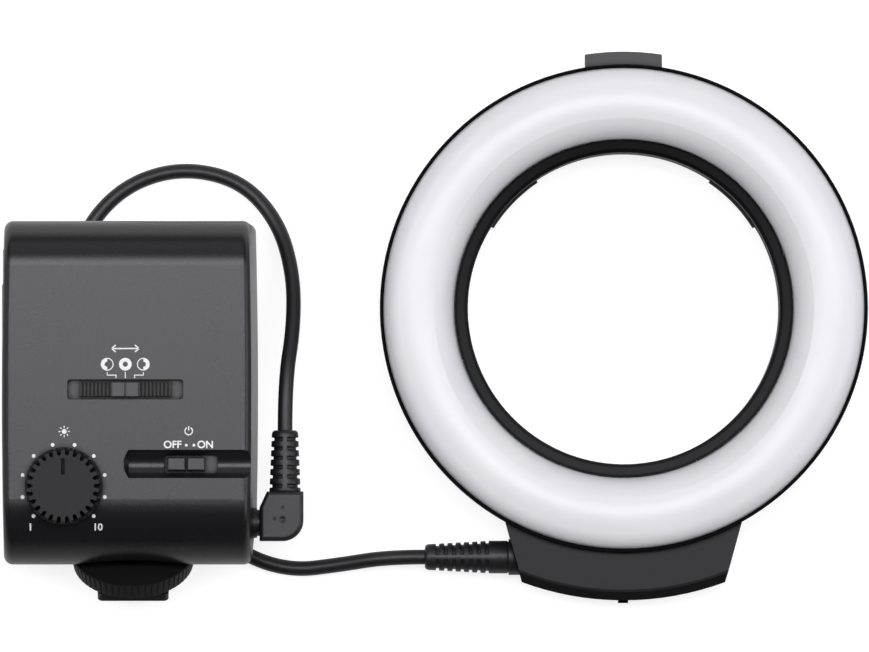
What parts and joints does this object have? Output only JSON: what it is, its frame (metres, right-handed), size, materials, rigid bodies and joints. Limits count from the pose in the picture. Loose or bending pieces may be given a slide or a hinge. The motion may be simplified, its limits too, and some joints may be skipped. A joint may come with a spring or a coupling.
{
  "type": "macro ring light",
  "caption": "Macro ring light: a round diffuser round an open lens bore, joined by a cord to a battery box with a knob, slide switches and a shoe foot.",
  "frame": {"origin": "centre of the lens bore at the ring's back face, which lies on the table", "axes": "+Z along the lens bore towards the lit side, +X from the battery box to the ring, +Y from the ring's base block to its release button"},
  "size_m": [0.2275, 0.1448, 0.0446],
  "materials": {
    "shell_plastic": "fine matte",
    "knob_plastic": "satin",
    "diffuser_plastic": "milky satin",
    "board": "solder resist",
    "chip": "moulded",
    "steel": "plated",
    "foot_metal": "black satin",
    "cord_rubber": "satin",
    "cell": "plain sleeve"
  },
  "bodies": {
    "root": {"ring_front_shell": "shell_plastic", "ring_rear_cover": "shell_plastic", "lens_bore_ring": "shell_plastic", "diffuser": "diffuser_plastic", "led_board": "board", "led_chips": "chip", "driver_board": "board", "driver_parts": "chip", "ring_screws": "steel", "latch_pins": "steel", "button_spring": "steel", "ring_boot": "cord_rubber", "cord": "cord_rubber", "box_front_shell": "shell_plastic", "box_rear_shell": "shell_plastic", "box_screws": "steel", "main_board": "board", "board_screws": "steel", "potentiometer": "chip", "position_switch": "chip", "power_switch": "chip", "battery_cradle": "shell_plastic", "battery_contacts": "steel", "door_pin": "steel", "foot": "foot_metal", "foot_bracket": "steel", "bracket_screws": "steel", "jack": "chip", "plug_collar": "cord_rubber", "plug_pin": "steel", "plug_body": "cord_rubber", "plug_boot": "cord_rubber", "aa_cell_1": "cell", "aa_cell_2": "cell", "aa_cell_3": "cell", "aa_cell_4": "cell"},
    "release_button": {"release_button": "shell_plastic"},
    "latch_claw_right": {"latch_claw_right": "shell_plastic"},
    "latch_claw_left": {"latch_claw_left": "shell_plastic"},
    "brightness_knob": {"brightness_knob": "knob_plastic", "knob_shaft": "steel"},
    "position_slider": {"position_slider": "shell_plastic"},
    "power_slider": {"power_slider": "shell_plastic"},
    "clamp_washer": {"clamp_washer": "steel"},
    "lock_wheel": {"lock_wheel": "shell_plastic"},
    "battery_door": {"battery_door": "shell_plastic", "door_contacts": "steel"}
  },
  "joints": [
    {"name": "button_press", "type": "slide", "parent": "root", "child": "release_button", "axis": [0, -1, 0], "range_m": [0, 0.0012], "stiffness_N_per_m": 250, "deforming": ["button_spring"]},
    {"name": "claw_right_turn", "type": "hinge", "parent": "root", "child": "latch_claw_right", "pos_m": [0.02016, 0.04134, 0.0085], "axis": [0, 0, 1], "range_deg": [0, 7.06]},
    {"name": "claw_left_turn", "type": "hinge", "parent": "root", "child": "latch_claw_left", "pos_m": [-0.02016, 0.04134, 0.0085], "axis": [0, 0, 1], "range_deg": [-7.06, 0]},
    {"name": "knob_turn", "type": "hinge", "parent": "root", "child": "brightness_knob", "pos_m": [-0.14605, -0.04685, 0.04125], "axis": [0, 0, 1], "range_deg": [-135, 135]},
    {"name": "position_slide", "type": "slide", "parent": "root", "child": "position_slider", "axis": [1, 0, 0], "range_m": [-0.0024, 0.0024]},
    {"name": "power_slide", "type": "slide", "parent": "root", "child": "power_slider", "axis": [1, 0, 0], "range_m": [0, 0.0029]},
    {"name": "washer_slide", "type": "slide", "parent": "root", "child": "clamp_washer", "axis": [0, -0.788, -0.6157], "range_m": [0, 0.0015]},
    {"name": "wheel_turn", "type": "hinge", "parent": "clamp_washer", "child": "lock_wheel", "pos_m": [-0.1287, -0.0626, 0.01536], "axis": [0, -0.788, -0.6157], "range_deg": [0, 540.04]},
    {"name": "door_swing", "type": "hinge", "parent": "root", "child": "battery_door", "pos_m": [-0.16083, 0.00035, 0.03325], "axis": [0, 1, 0], "range_deg": [0, 95]}
  ],
  "couplings": [
    {"joint": "claw_right_turn", "follows": "button_press", "rad_per_m": 102.41},
    {"joint": "claw_left_turn", "follows": "button_press", "rad_per_m": -102.41},
    {"joint": "wheel_turn", "follows": "washer_slide", "rad_per_m": 6283.2}
  ]
}
